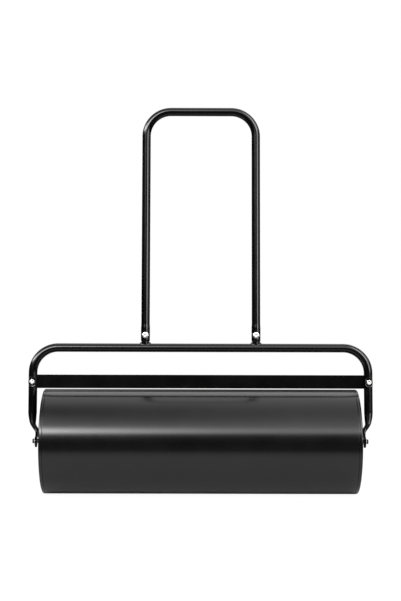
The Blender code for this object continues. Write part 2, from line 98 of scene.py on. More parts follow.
def plane_box(node):
    """Lowest and highest corners of a CAD node in the leaning frame's own axes."""
    points = [LEANING.inverted() @ vertex.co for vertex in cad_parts[node].data.vertices]
    low = Vector([min(point[i] for point in points) for i in range(3)])
    high = Vector([max(point[i] for point in points) for i in range(3)])
    return low, high


# ---------------------------------------------------------------- shader graphs

class Graph:
    """Adds shader nodes; an input given a socket is linked, and any other value is set."""

    def __init__(self, tree):
        self.tree = tree

    def add(self, kind, inputs=None, **settings):
        made = self.tree.nodes.new("ShaderNode" + kind)
        for name, value in settings.items():
            setattr(made, name, value)
        for key, value in (inputs or {}).items():
            if isinstance(value, bpy.types.NodeSocket):
                self.tree.links.new(value, made.inputs[key])
            else:
                made.inputs[key].default_value = value
        return made

    def math(self, operation, first, second=0.0):
        return self.add("Math", {0: first, 1: second}, operation=operation).outputs[0]

    def span(self, value, low, high, to_low=0.0, to_high=1.0):
        """Maps low..high onto to_low..to_high with soft ends."""
        inputs = {0: value, 1: low, 2: high, 3: to_low, 4: to_high}
        return self.add("MapRange", inputs, interpolation_type='SMOOTHSTEP').outputs[0]

    def mix(self, factor, first, second):
        inputs = {"Factor": factor, 6: first, 7: second}
        return self.add("Mix", inputs, data_type='RGBA').outputs[2]

    def noise(self, coords, scale, detail=2.0, roughness=0.5):
        inputs = {"Vector": coords, "Scale": scale, "Detail": detail, "Roughness": roughness}
        return self.add("TexNoise", inputs).outputs[0]

    def stretched(self, coords, scale):
        return self.add("Mapping", {0: coords, 3: scale}).outputs[0]

    def bump(self, height, distance, strength=1.0, normal=None):
        inputs = {"Height": height, "Distance": distance, "Strength": strength}
        if normal:
            inputs["Normal"] = normal
        return self.add("Bump", inputs).outputs[0]


def grey(level, tint=(1.0, 1.0, 1.0)):
    return (level * tint[0], level * tint[1], level * tint[2], 1.0)


def new_material(name):
    """A material with its graph, its Principled shader and its own object coordinates."""
    made = bpy.data.materials.new(name)
    made.use_nodes = True
    graph = Graph(made.node_tree)
    shader = made.node_tree.nodes["Principled BSDF"]
    coords = graph.add("TexCoord").outputs["Object"]
    return made, graph, shader, coords


def feed(graph, shader, **sockets):
    for name, socket in sockets.items():
        graph.tree.links.new(socket, shader.inputs[name.replace("_", " ")])


def edge_mask(graph, radius):
    """1 at edges and 0 on open faces, from how far a bevelled normal turns away."""
    soft = graph.add("Bevel", {"Radius": radius}, samples=6).outputs[0]
    flat = graph.add("NewGeometry").outputs["Normal"]
    likeness = graph.add("VectorMath", {0: soft, 1: flat}, operation='DOT_PRODUCT').outputs["Value"]
    return graph.span(likeness, 0.995, 0.90)


# ---------------------------------------------------------------- materials

def drum_paint():
    """Gloss black enamel, softly mirroring, with long-wave orange peel and hardly any dust."""
    made, graph, shader, coords = new_material("drum_paint")
    haze = graph.noise(coords, 7.0, 5.0, 0.6)
    dust = graph.span(graph.noise(coords, 900.0, 1.0), 0.66, 0.74)
    colour = graph.mix(graph.span(haze, 0.35, 0.75), grey(0.0016), grey(0.0030, (1.0, 0.98, 0.95)))
    feed(graph, shader, Base_Color=graph.mix(graph.math('MULTIPLY', dust, 0.2), colour, grey(0.04)))
    rough = graph.span(haze, 0.3, 0.75, 0.155, 0.19)
    feed(graph, shader, Roughness=graph.math('ADD', rough, graph.math('MULTIPLY', dust, 0.08)))
    peel = graph.bump(graph.noise(coords, 260.0, 1.5), 0.000012, 0.5)
    waves = graph.stretched(coords, (5.0, 22.0, 22.0))
    feed(graph, shader, Normal=graph.bump(graph.noise(waves, 1.0, 1.0), 0.00035, 0.12, peel))
    shader.inputs["IOR"].default_value = 1.5
    return made


def frame_paint():
    """Gloss black powder coat with fine orange peel, rubbed a little paler on its edges."""
    made, graph, shader, coords = new_material("frame_paint")
    patches = graph.noise(coords, 14.0, 4.0, 0.6)
    edges = edge_mask(graph, 0.0006)
    worn = graph.span(graph.noise(coords, 160.0, 3.0), 0.40, 0.62)
    rubbed = graph.math('MULTIPLY', edges, worn)
    colour = graph.mix(graph.span(patches, 0.3, 0.7), grey(0.0010), grey(0.0018, (1.0, 0.99, 0.97)))
    feed(graph, shader, Base_Color=graph.mix(graph.math('MULTIPLY', rubbed, 0.4), colour, grey(0.04)))
    rough = graph.span(patches, 0.3, 0.7, 0.11, 0.15)
    feed(graph, shader, Roughness=graph.math('ADD', rough, graph.math('MULTIPLY', rubbed, 0.12)))
    peel = graph.bump(graph.noise(coords, 620.0, 2.0), 0.00002, 0.12)
    feed(graph, shader, Normal=graph.bump(graph.noise(coords, 60.0, 1.0), 0.00005, 0.06, peel))
    shader.inputs["IOR"].default_value = 1.5
    return made


def zinc_plate():
    """Bright zinc plating: pale blue-white metal, cloudy, with fine pits and darker handling marks."""
    made, graph, shader, coords = new_material("zinc_plate")
    cloud = graph.noise(coords, 260.0, 4.0, 0.6)
    marks = graph.span(graph.noise(coords, 620.0, 3.0), 0.56, 0.72)
    clear, dull = grey(0.88, (0.99, 1.0, 1.0)), grey(0.78, (1.0, 0.99, 0.95))
    plated = graph.mix(graph.span(cloud, 0.3, 0.7), clear, dull)
    feed(graph, shader, Base_Color=graph.mix(graph.math('MULTIPLY', marks, 0.5), plated, grey(0.42)))
    feed(graph, shader, Roughness=graph.span(cloud, 0.25, 0.75, 0.30, 0.46))
    feed(graph, shader, Normal=graph.bump(graph.noise(coords, 1500.0, 2.0), 0.00003, 0.5))
    shader.inputs["Metallic"].default_value = 1.0
    return made


def nylon():
    """Natural nylon: milky, faintly translucent, with soft moulded mottling."""
    made, graph, shader, coords = new_material("nylon")
    milk = graph.noise(coords, 180.0, 3.0)
    pale, warm = grey(0.66, (1.0, 0.98, 0.92)), grey(0.56, (1.0, 0.96, 0.86))
    feed(graph, shader, Base_Color=graph.mix(milk, pale, warm))
    feed(graph, shader, Roughness=graph.span(milk, 0.3, 0.7, 0.42, 0.55))
    feed(graph, shader, Normal=graph.bump(graph.noise(coords, 1400.0, 1.0), 0.00002, 0.4))
    shader.inputs["Subsurface Weight"].default_value = 0.25
    shader.inputs["Subsurface Scale"].default_value = 0.002
    return made


def rubber():
    """Moulded black rubber with a dusty bloom."""
    made, graph, shader, coords = new_material("rubber")
    bloom = graph.noise(coords, 240.0, 4.0, 0.65)
    feed(graph, shader, Base_Color=graph.mix(graph.span(bloom, 0.4, 0.75), grey(0.016), grey(0.045)))
    feed(graph, shader, Roughness=graph.span(bloom, 0.3, 0.7, 0.72, 0.88))
    feed(graph, shader, Normal=graph.bump(graph.noise(coords, 1800.0, 2.0), 0.00003, 0.6))
    return made


def plug_plastic():
    """Injection-moulded black plastic with a fine spark-eroded grain."""
    made, graph, shader, coords = new_material("plug_plastic")
    grain = graph.noise(coords, 2200.0, 2.0)
    shade = graph.noise(coords, 120.0, 3.0)
    feed(graph, shader, Base_Color=graph.mix(shade, grey(0.012), grey(0.022)))
    feed(graph, shader, Roughness=graph.span(grain, 0.3, 0.7, 0.38, 0.55))
    feed(graph, shader, Normal=graph.bump(grain, 0.00004, 0.6))
    return made


MATERIALS = {make.__name__: make() for make in
             (drum_paint, frame_paint, zinc_plate, nylon, rubber, plug_plastic)}


# ---------------------------------------------------------------- surfaces

SMOOTH_BELOW = radians(40)
TUBE_SIDES = 48
FASTENER_SIDES = 96
LATHE_SIDES = 64


def turns(steps):
    return [2 * pi * i / steps for i in range(steps)]


def skin(rings, loop=False, caps=False):
    """A surface through rings of points. A ring of one point is a pole; loop joins the last to the first."""
    bm = bmesh.new()
    rows = [[bm.verts.new(point) for point in ring] for ring in rings]
    around = max(len(row) for row in rows)
    following = rows[1:] + rows[:1] if loop else rows[1:]
    for lower, upper in zip(rows, following):
        for i in range(around):
            j = (i + 1) % around
            below = (lower[i % len(lower)], lower[j % len(lower)])
            above = (upper[j % len(upper)], upper[i % len(upper)])
            corners = list(dict.fromkeys(below + above))
            if len(corners) > 2:
                bm.faces.new(corners)
    if caps:
        bm.faces.new(rows[0])
        bm.faces.new(rows[-1])
    bmesh.ops.recalc_face_normals(bm, faces=bm.faces)
    mesh = bpy.data.meshes.new("skin")
    bm.to_mesh(mesh)
    bm.free()
    return mesh


def rounded(corners, fillet, steps=4):
    """A closed outline of (x, y) or (x, y, own fillet) corners, each corner turned into an arc."""
    outline = []
    for i, corner in enumerate(corners):
        here = Vector(corner[:2])
        before = Vector(corners[i - 1][:2]) - here
        after = Vector(corners[(i + 1) % len(corners)][:2]) - here
        radius = corner[2] if len(corner) > 2 else fillet
        reach = min(radius / tan(before.angle(after) / 2), before.length * 0.49, after.length * 0.49)
        if reach < 0.000001:
            outline.append(here)
            continue
        start, end = here + before.normalized() * reach, here + after.normalized() * reach
        for k in range(steps + 1):
            t = k / steps
            outline.append(start * (1 - t) ** 2 + here * 2 * t * (1 - t) + end * t ** 2)
    return outline


def circle(radius, height, steps=FASTENER_SIDES):
    return [Vector((radius * cos(a), radius * sin(a), height)) for a in turns(steps)]


def turned(outline, steps=FASTENER_SIDES):
    """A closed outline of (radius, height) points spun about Z."""
    return skin([circle(r, z, steps if r > 0.000001 else 1) for r, z in outline], loop=True)


def piece(name, mesh, matrix, slot, body, *nodes):
    """Finishes a mesh as a named piece on a CAD body, standing for the given CAD nodes."""
    mesh.shade_smooth()
    mesh.set_sharp_from_angle(angle=SMOOTH_BELOW)
    mesh.materials.append(MATERIALS[slot])
    obj = bpy.data.objects.new(name, mesh)
    bpy.context.scene.collection.objects.link(obj)
    obj.matrix_world = matrix
    normals = obj.modifiers.new("Face weighted normals", 'WEIGHTED_NORMAL')
    normals.keep_sharp = True
    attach(obj, body)
    if nodes:
        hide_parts(*nodes)
    return obj


def towards(direction, at):
    """A placement whose Z points along direction."""
    return Matrix.Translation(at) @ UP.rotation_difference(direction).to_matrix().to_4x4()


WELD_SINK = 0.0004


def bead(foot, wall, root, bulge, ripples):
    """A closed weld bead round a joint. foot, wall and root give a point for each turn."""
    around, across = 12 * ripples, 8
    sections = []
    for turn in turns(around):
        start, end, inner = foot(turn), wall(turn), root(turn)
        outward = ((start + end) / 2 - inner).normalized()
        pulse = abs(sin(ripples * turn / 2))
        wander = noise.noise(start * 160.0)
        height = bulge * (0.75 + 0.45 * pulse + 0.35 * wander)
        arch = []
        for k in range(across + 1):
            t = k / across
            arch.append(start.lerp(end, t) + outward * height * 4 * t * (1 - t))
        sections.append(arch + [inner])
    return skin(sections, loop=True)


def ring_weld(radius, leg, rise, inset, bulge, ripples):
    """A fillet weld where a tube of this radius stands out of a flat face at height 0."""
    def at(turn, reach, height):
        return Vector((reach * cos(turn), reach * sin(turn), height))

    return bead(lambda turn: at(turn, radius + leg, 0), lambda turn: at(turn, radius, rise),
                lambda turn: at(turn, radius - inset, -WELD_SINK), bulge, ripples)


# ---------------------------------------------------------------- drum

DRUM_STEPS = 256
DRUM_RADIUS = AXLE.z
DRUM_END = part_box("end_cap_right")[1].x
SHELL_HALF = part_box("drum_shell")[1].x
SHELL_WALL = 0.003  # the CAD's is 0.0012, too thin for the rounded seam
SEAM_FILLET = 0.0013
CAP_FLANGE = 0.010
CAP_CORNER = 0.006
DISH_DEPTH = 0.010
DISH_RADIUS = 0.118
DISH_RIM = 0.134
CAP_WALL = 0.0012
AXLE_TUBE_RADIUS = 0.011
AXLE_TUBE_BORE = 0.009
BUSH_FLANGE_RADIUS = 0.0112
BUSH_FLANGE = 0.003
BUSH_BODY = 0.0087
BUSH_BORE = 0.0063
BUSH_DEPTH = 0.024
BUNG_RADIUS = 0.020
BUNG_BORE = 0.014
BUNG_PROUD = 0.0015
BUNG_DEPTH = 0.007


def drum_shell():
    """The rolled shell, its two ends rounded over towards the seams."""
    inner = DRUM_RADIUS - SHELL_WALL
    corners = [(DRUM_RADIUS, SHELL_HALF, SEAM_FILLET), (DRUM_RADIUS, -SHELL_HALF, SEAM_FILLET),
               (inner, -SHELL_HALF), (inner, SHELL_HALF)]
    piece("drum_shell_skin", turned(rounded(corners, 0.0, 6), DRUM_STEPS), towards(RIGHT, AXLE),
          "drum_paint", "drum", "drum_shell")


def drum_seam():
    """The shell's own butt weld, a low painted-over bead along its back."""
    half_width, height, pitch = 0.0028, 0.00035, 0.0045
    short_of_end, sink, fade_rings, bearing = 0.003, 0.00003, 12, radians(-104)
    length = 2 * (SHELL_HALF - short_of_end)
    count = int(length / pitch) * 4
    rings = []
    for i in range(count + 1):
        x = length * (i / count - 0.5)
        fade = min(1.0, (count / 2 - abs(i - count / 2)) / fade_rings)
        ripple = 0.8 + 0.2 * abs(sin(pi * x / pitch)) + 0.3 * noise.noise(Vector((x * 60, 0, 0)))
        swell = height * fade * ripple
        top = []
        for k in range(-4, 5):
            crown = DRUM_RADIUS + swell * (1 - (k / 4) ** 2) - sink
            top.append(Vector((x, half_width * k / 4, crown)))
        rings.append(top + [Vector((x, 0, DRUM_RADIUS - WELD_SINK))])
    turned_back = Matrix.Translation(AXLE) @ Matrix.Rotation(bearing, 4, 'X')
    piece("drum_seam_weld", skin(rings, caps=True), turned_back, "drum_paint", "drum")


def end_cap(side):
    """The dished cap with its rounded rim, and the weld where the axle tube passes through it."""
    hub = AXLE_TUBE_RADIUS + GAP
    step, inner, draft = DRUM_RADIUS - 0.002, DRUM_RADIUS - 0.0035, 0.001
    corners = [(hub, -DISH_DEPTH, 0.0), (DISH_RADIUS, -DISH_DEPTH, 0.006), (DISH_RIM, 0.0, 0.007),
               (DRUM_RADIUS, 0.0, CAP_CORNER), (DRUM_RADIUS, -CAP_FLANGE, SEAM_FILLET),
               (step, -CAP_FLANGE, 0.0), (inner, -CAP_FLANGE, 0.0), (inner, -0.004, 0.001),
               (DISH_RIM + draft, -CAP_WALL - 0.002, 0.002),
               (DISH_RADIUS + draft, -DISH_DEPTH - CAP_WALL, 0.002), (hub, -DISH_DEPTH - CAP_WALL, 0.0)]
    outward = RIGHT * SIDES[side]
    at = AXLE + outward * DRUM_END
    mesh = turned(rounded(corners, 0.0, 8), DRUM_STEPS)
    cap = piece("end_cap_skin_" + side, mesh, towards(outward, at), "drum_paint", "drum", "end_cap_" + side)
    if side == "right":
        cut_bung_hole(cap)
    leg = 0.0048
    weld = ring_weld(AXLE_TUBE_RADIUS, leg, leg, 0.0004, 0.0009, 17)
    dish = at - outward * DISH_DEPTH
    piece("axle_weld_" + side, weld, towards(outward, dish), "drum_paint", "drum")


def fill_axis():
    """Where the plug's axis meets the dish of the right-hand cap."""
    at = middle(*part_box("fill_plug"))
    return Vector((DRUM_END - DISH_DEPTH, at.y, at.z))


def cut_bung_hole(cap):
    """Opens the cap round the bung with a Boolean, applied so that no cutter is left."""
    bung, reach = BUNG_RADIUS + GAP, 0.02
    cylinder = turned([(0, reach), (bung, reach), (bung, -reach), (0, -reach)])
    cutter = bpy.data.objects.new("bung_cutter", cylinder)
    bpy.context.scene.collection.objects.link(cutter)
    cutter.matrix_world = towards(RIGHT, fill_axis())
    opening = cap.modifiers.new("Bung hole", 'BOOLEAN')
    opening.object = cutter
    opening.solver = 'EXACT'
    with bpy.context.temp_override(object=cap, active_object=cap):
        bpy.ops.object.modifier_move_to_index(modifier="Bung hole", index=0)
        bpy.ops.object.modifier_apply(modifier="Bung hole")
    bpy.data.objects.remove(cutter, do_unlink=True)


def axle_tube():
    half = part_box("axle_tube")[1].x
    corners = [(AXLE_TUBE_RADIUS, half), (AXLE_TUBE_RADIUS, -half),
               (AXLE_TUBE_BORE, -half), (AXLE_TUBE_BORE, half)]
    piece("axle_tube_skin", turned(rounded(corners, 0.0005), LATHE_SIDES), towards(RIGHT, AXLE),
          "drum_paint", "drum", "axle_tube")


def hub_bush(side):
    """The flanged bearing in the end of the axle tube."""
    node = "hub_bush_" + side
    low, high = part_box(node)
    seat = (high.x - BUSH_FLANGE) if side == "right" else -(low.x + BUSH_FLANGE)
    corners = [(BUSH_FLANGE_RADIUS, BUSH_FLANGE, 0.0008), (BUSH_FLANGE_RADIUS, 0.0, 0.0003),
               (BUSH_BODY, 0.0, 0.0), (BUSH_BODY, -BUSH_DEPTH), (BUSH_BORE, -BUSH_DEPTH),
               (BUSH_BORE, BUSH_FLANGE, 0.0006)]
    outward = RIGHT * SIDES[side]
    mesh = turned(rounded(corners, 0.0003), LATHE_SIDES)
    piece("hub_bush_skin_" + side, mesh, towards(outward, AXLE + outward * seat), "nylon", "drum", node)


# ---------------------------------------------------------------- fill opening

GASKET = 0.0018
PLUG_RADIUS = 0.019
PLUG_HEAD = 0.0035
PLUG_GRIP = 0.006
PLUG_GRIP_FLATS = 0.022
PLUG_SHANK = 0.011
PLUG_THREAD_GAP = 0.0006
PLUG_RIBS = 30


def fill_opening():
    """The welded bung, and the gasket and screw plug that close it."""
    place = towards(RIGHT, fill_axis())
    corners = [(BUNG_RADIUS, BUNG_PROUD, 0.0006), (BUNG_RADIUS, -BUNG_DEPTH), (BUNG_BORE, -BUNG_DEPTH),
               (BUNG_BORE, BUNG_PROUD, 0.0008)]
    piece("fill_bung_skin", turned(rounded(corners, 0.0002)), place, "drum_paint", "drum", "fill_bung")
    weld = ring_weld(BUNG_RADIUS, 0.003, 0.0011, 0.0003, 0.0006, 30)
    piece("fill_bung_weld", weld, place, "drum_paint", "drum")
    seat = BUNG_PROUD + GAP
    outer, bore = PLUG_RADIUS - 0.0005, BUNG_BORE + 0.0002
    corners = [(outer, seat + GASKET), (outer, seat), (bore, seat), (bore, seat + GASKET)]
    piece("fill_gasket_skin", turned(rounded(corners, 0.0007)), place, "rubber", "gasket", "fill_gasket")
    piece("fill_plug_skin", plug_mesh(seat + GASKET + GAP), place, "plug_plastic", "plug", "fill_plug")


def scalloped(radius, height, depth, ribs, steps=FASTENER_SIDES * 2):
    """A ring whose radius dips between its ribs."""
    ring = []
    for a in turns(steps):
        reach = radius - depth * (0.5 - 0.5 * cos(ribs * a)) ** 3
        ring.append(Vector((reach * cos(a), reach * sin(a), height)))
    return ring


def plug_mesh(head):
    """A ribbed disc with a hexagon to grip, and a threaded shank below."""
    steps = FASTENER_SIDES * 2
    top = head + PLUG_HEAD
    crown = top + PLUG_GRIP
    recess = crown - 0.0012
    shank_end = head - PLUG_SHANK
    shank = BUNG_BORE - PLUG_THREAD_GAP
    rings = [[Vector((0, 0, recess))], circle(0.0052, recess, steps), circle(0.0060, crown - 0.0004, steps),
             circle(0.0066, crown, steps), circle(PLUG_GRIP_FLATS * 0.45, crown, steps)]
    # the hexagon, from its chamfer down to the flare at its foot
    for flare, height, slope in ((1.0, crown - 0.0001, -0.35), (1.005, top + 0.0012, 0),
                                 (1.03, top + 0.0004, 0), (1.09, top, 0)):
        rings.append(hexagon(PLUG_GRIP_FLATS * flare, height, slope, steps))
    rings.append(circle(PLUG_RADIUS - 0.0022, top, steps))
    for inset, height, depth in ((0.0008, top - 0.0002, 0.0004), (0, top - 0.0008, 0.0009),
                                 (0, head + 0.0006, 0.0009)):
        rings.append(scalloped(PLUG_RADIUS - inset, height, depth, PLUG_RIBS))
    rings += [circle(PLUG_RADIUS - 0.0009, head, steps), circle(shank, head, steps)]
    rings += thread(shank, PLUG_PITCH, head - 0.0015, shank_end, steps)
    rings += [circle(shank - 0.0016, shank_end, steps), [Vector((0, 0, shank_end))]]
    return skin(rings)


# ---------------------------------------------------------------- fasteners, about their own Z, seated at 0

FACE_REACH = 0.475  # of the width across flats, to the edge of a hexagon's end face
CORNER_REACH = 0.568  # the same to its eased corners; sharp ones would be at 0.577
CHAMFER = tan(radians(28))
FLANGE_PROFILE = ((0.0084, 0.0014), (0.0090, 0.0011), (0.0092, 0.0007), (0.0090, 0.0002), (0.0086, 0.0))


def hexagon(flats, height, slope=0.0, steps=FASTENER_SIDES):
    """A hexagonal ring with eased corners; slope tilts it as a chamfer does, most at the corners."""
    ring = []
    for a in turns(steps):
        off = (a + pi / 6) % (pi / 3) - pi / 6
        reach = min(flats / 2 / cos(off), flats * CORNER_REACH)
        ring.append(Vector((reach * cos(a), reach * sin(a), height + slope * (reach - flats * FACE_REACH))))
    return ring


def thread(radius, pitch, high, low, steps=FASTENER_SIDES):
    """Rings of a real helical thread, running down from high to low, with a lead-in chamfer."""
    count = max(2, round((high - low) / pitch * 8))
    depth = pitch * 0.55
    rings = []
    for k in range(count + 1):
        height = high + (low - high) * k / count
        lead = max(0.0, 1 - (height - low) / (pitch * 0.8))
        ring = []
        for a in turns(steps):
            phase = (height / pitch - a / (2 * pi)) % 1.0
            reach = radius - depth * (1 - abs(2 * phase - 1)) - lead * depth * 0.7
            ring.append(Vector((reach * cos(a), reach * sin(a), height)))
        rings.append(ring)
    return rings


def bolt_mesh(shank, flange=False):
    """A hexagon head, dimpled on top and with a flange if asked, over a shank threaded at its end."""
    foot = FLANGE_HEIGHT if flange else 0.0
    top = foot + HEAD_HEIGHT
    face = HEX_FLATS * FACE_REACH
    rings = [[Vector((0, 0, top - 0.0005))], circle(0.0026, top - 0.0005), circle(0.0032, top - 0.0001),
             circle(0.0036, top), circle(face, top), hexagon(HEX_FLATS, top, -CHAMFER)]
    if flange:
        rings += [hexagon(HEX_FLATS, foot + 0.0006), hexagon(HEX_FLATS * 1.05, foot + 0.0001)]
        rings += [circle(radius, height) for radius, height in FLANGE_PROFILE]
    else:
        rings += [hexagon(HEX_FLATS, 0.0006, 0.2), circle(face, 0.0004), circle(face - 0.0002, 0.0)]
    plain_end, thread_start = -shank + 0.0062, -shank + 0.006
    rings += [circle(BOLT_RADIUS + 0.0003, 0.0), circle(BOLT_RADIUS, -0.0004), circle(BOLT_RADIUS, plain_end)]
    rings += thread(BOLT_RADIUS, BOLT_PITCH, thread_start, -shank)
    return skin(rings + [[Vector((0, 0, -shank))]])


def nut_mesh():
    """A lock nut: hexagon chamfered at both ends, with a domed collar that holds a nylon ring."""
    face, bore = HEX_FLATS * FACE_REACH, BOLT_RADIUS + 0.0001
    collar = NUT_HEIGHT + NUT_COLLAR
    rings = [circle(bore, 0.0004), circle(bore + 0.0005, 0.0), circle(face, 0.0),
             hexagon(HEX_FLATS, 0.0, CHAMFER), hexagon(HEX_FLATS, NUT_HEIGHT, -CHAMFER),
             circle(face, NUT_HEIGHT)]
    # the domed collar and the lip over the nylon ring, as (radius, depth below the collar's top)
    dome = ((face - 0.0001, 0.0009), (face - 0.0004, 0.0003), (face - 0.0009, 0.0),
            (0.0050, 0.0001), (0.0049, 0.0005), (bore, 0.0007))
    rings += [circle(radius, collar - depth) for radius, depth in dome]
    return skin(rings, loop=True)


def washer_mesh():
    bore = BOLT_RADIUS + 0.0003
    corners = [(WASHER_RADIUS, WASHER_THICKNESS, 0.0005), (WASHER_RADIUS, 0.0), (bore, 0.0),
               (bore, WASHER_THICKNESS, 0.0003)]
    return turned(rounded(corners, 0.0002))


def seated(node, direction, thickness):
    """The placement of a fastener whose outer end is where its CAD node's is, with Z along direction."""
    low, high = plane_box(node)
    at = middle(low, high)
    axis = max(range(3), key=lambda i: abs(direction[i]))
    outer = high[axis] if direction[axis] > 0 else low[axis]
    at[axis] = outer - direction[axis] * thickness
    return LEANING @ towards(direction, at)


def bolt(node, direction, shank, flange=False, slot="zinc_plate"):
    height = HEAD_HEIGHT + (FLANGE_HEIGHT if flange else 0.0)
    piece(node + "_skin", bolt_mesh(shank, flange), seated(node, direction, height), slot, "frame", node)


def washer(node, direction):
    place = seated(node, direction, WASHER_THICKNESS)
    piece(node + "_zinc", washer_mesh(), place, "zinc_plate", "frame", node)


def lock_nut(node, direction):
    top = NUT_HEIGHT + NUT_COLLAR
    place = seated(node, direction, top)
    piece(node + "_zinc", nut_mesh(), place, "zinc_plate", "frame", node)
    outer, bore = 0.0048, BOLT_RADIUS - 0.0002
    high, low = top - 0.0004, top - 0.002
    ring = turned(rounded([(outer, high), (outer, low), (bore, low), (bore, high)], 0.0002))
    piece(node + "_ring", ring, place, "nylon", "frame")


# ---------------------------------------------------------------- frame tube

BEND_STEPS = 28
FRAME_HIGH = plane_box("frame_tube")[1]
FRAME_TOP = FRAME_HIGH.z - FRAME_RADIUS
LEG_X = FRAME_HIGH.x - FRAME_RADIUS
TAB_HALF = FRAME_HIGH.y


def crimp_stations():
    """(height, centre, thickness) knots up the leg, from the flat tab to the round tube."""
    tab, tube = (TAB_CENTRE, TAB_THICKNESS), (LEG_X, 2 * FRAME_RADIUS)
    return [(-0.004, *tab), (0.0, *tab), (0.008, *tab),
            (0.015, 0.4797, TAB_THICKNESS), (0.021, 0.4792, 0.0052), (0.0265, 0.4793, 0.0064),
            (0.032, 0.4808, 0.0104), (0.038, 0.4840, 0.0138), (0.049, 0.4905, 0.0146),
            (0.062, 0.4920, 0.0203), (0.074, 0.4927, 0.0236), (0.084, *tube), (0.092, *tube)]


def through(knots, steps):
    """A smooth curve through knots, from the second to the last but one."""
    points = []
    for p0, p1, p2, p3 in zip(knots, knots[1:], knots[2:], knots[3:]):
        for k in range(steps):
            t = k / steps
            points.append([0.5 * (2 * b + (c - a) * t + (2 * a - 5 * b + 4 * c - d) * t ** 2
                                  + (3 * b - a - 3 * c + d) * t ** 3) for a, b, c, d in zip(p0, p1, p2, p3)])
    return points + [list(knots[-2])]


def oval(centre, across, thickness, width):
    """A flat oval ring: thickness along across, width along Y."""
    ring = []
    for a in turns(TUBE_SIDES):
        straight = (width - thickness) / 2 * max(-1.0, min(1.0, sin(a) * 4))
        ring.append(centre + across * (thickness / 2 * cos(a)) + BACK * (straight + thickness / 2 * sin(a)))
    return ring


def tube_ring(centre, inward, radius):
    return oval(centre, inward, 2 * radius, 2 * radius)


def bend_centre(half_width, top):
    """Where the left-hand corner of an upside-down U is bent about."""
    return Vector((-half_width + BEND_RADIUS, 0, top - BEND_RADIUS))


def quarter_bend(centre, radius):
    """Rings of a round tube from upright to level, round the left-hand corner."""
    rings = []
    for i in range(BEND_STEPS + 1):
        turn = pi / 2 * i / BEND_STEPS
        inward = Vector((cos(turn), 0, -sin(turn)))
        rings.append(tube_ring(centre - inward * BEND_RADIUS, inward, radius))
    return rings


def whole_u(rings):
    """The whole tube, from the rings of its left-hand half; the last of them is at the middle."""
    other = [[Vector((-p.x, p.y, p.z)) for p in ring] for ring in reversed(rings[:-1])]
    return skin(rings + other, caps=True)


def flattened_width(thickness):
    """Width of the round tube once it is pressed to this thickness."""
    return (2 * pi * FRAME_RADIUS - pi * thickness) / 2 + thickness


def tab_rings():
    """The rounded end of the flattened tube, its cut edge slightly eased."""
    rings = []
    for degrees in (89.5, 88, 86, 83, 79, 74, 68, 61, 53, 44, 34, 23, 12):
        height = -TAB_HALF * sin(radians(degrees))
        ease = min(1.0, (TAB_HALF + height) / 0.0007)
        thickness = TAB_THICKNESS * (0.55 + 0.45 * sqrt(ease * (2 - ease)))
        width = 2 * sqrt(TAB_HALF ** 2 - height ** 2)
        rings.append(oval(Vector((-TAB_CENTRE, 0, height)), RIGHT, min(thickness, width), width))
    return rings


def frame_tube():
    """The bent tube, from its flattened ends through the crimps to the top."""
    rings = tab_rings()
    for height, centre, thickness in through(crimp_stations(), 6):
        rings.append(oval(Vector((-centre, 0, height)), RIGHT, thickness, flattened_width(thickness)))
    corner = bend_centre(LEG_X, FRAME_TOP)
    rings += quarter_bend(corner, FRAME_RADIUS)
    for i in range(1, 9):
        rings.append(tube_ring(Vector((corner.x * (1 - i / 8), 0, FRAME_TOP)), -UP, FRAME_RADIUS))
    piece("frame_tube_skin", whole_u(rings), LEANING, "frame_paint", "frame", "frame_tube")


def cross_bar():
    """The flat bar, tapered behind the legs, with its long edges as rolled."""
    low, high = plane_box("cross_bar")
    centre = middle(low, high)
    end = BAR_END_HEIGHT / 2
    right = [(BAR_SHOULDER, low.z), (high.x, centre.z - end),
             (high.x, centre.z + end), (BAR_SHOULDER, high.z)]
    outline = rounded(right + [(-x, 2 * centre.z - z) for x, z in right], 0.002, 6)
    ease = 0.0007
    rings = []
    for inset, y in ((ease, low.y), (ease * 0.3, low.y + ease * 0.3), (0.0, low.y + ease),
                     (0.0, high.y - ease), (ease * 0.3, high.y - ease * 0.3), (ease, high.y)):
        scale_x = 1 - inset / (high.x - centre.x)
        scale_z = 1 - inset / (high.z - centre.z)
        ring = []
        for p in outline:
            x = centre.x + (p.x - centre.x) * scale_x
            z = centre.z + (p.y - centre.z) * scale_z
            ring.append(Vector((x, y, z)))
        rings.append(ring)
    piece("cross_bar_skin", skin(rings, caps=True), LEANING, "frame_paint", "frame", "cross_bar")


def leg_saddle(side):
    """A stadium-shaped pad under the leg bolt, dished in front and hollowed behind to fit the tube."""
    node = "leg_saddle_" + side
    low, high = plane_box(node)
    centre = middle(low, high)
    half_width, half_height = (high.x - low.x) / 2, (high.z - low.z) / 2
    straight = half_height - half_width
    hollow = FRAME_RADIUS + GAP
    steps = 96

    def outline(scale):
        points = []
        for a in turns(steps):
            lift = straight if sin(a) > 0 else -straight
            points.append((scale * half_width * cos(a), lift + scale * half_width * sin(a)))
        return points

    def level(scale, y):
        return [Vector((x, y, z)) for x, z in outline(scale)]

    def on_tube(scale):
        return [Vector((x, -sqrt(hollow ** 2 - x ** 2), z)) for x, z in outline(scale)]

    front, edge, seat, dish, crest = low.y, 0.0006, 0.70, 0.0005, 0.94
    rings = [level(0.36, front)]
    for k in range(9):
        rings.append(level(seat + (crest - seat) * k / 8, front - dish * (k / 8) ** 2))
    for degrees in (20, 40, 60, 75, 90):
        turn = radians(degrees)
        rings.append(level(1 - edge * (1 - sin(turn)) / half_width, front - dish + edge * (1 - cos(turn))))
    rings += [on_tube(1.0), on_tube(0.36)]
    place = LEANING @ Matrix.Translation((centre.x, 0, centre.z))
    piece(node + "_pad", skin(rings, loop=True), place, "frame_paint", "frame", node)


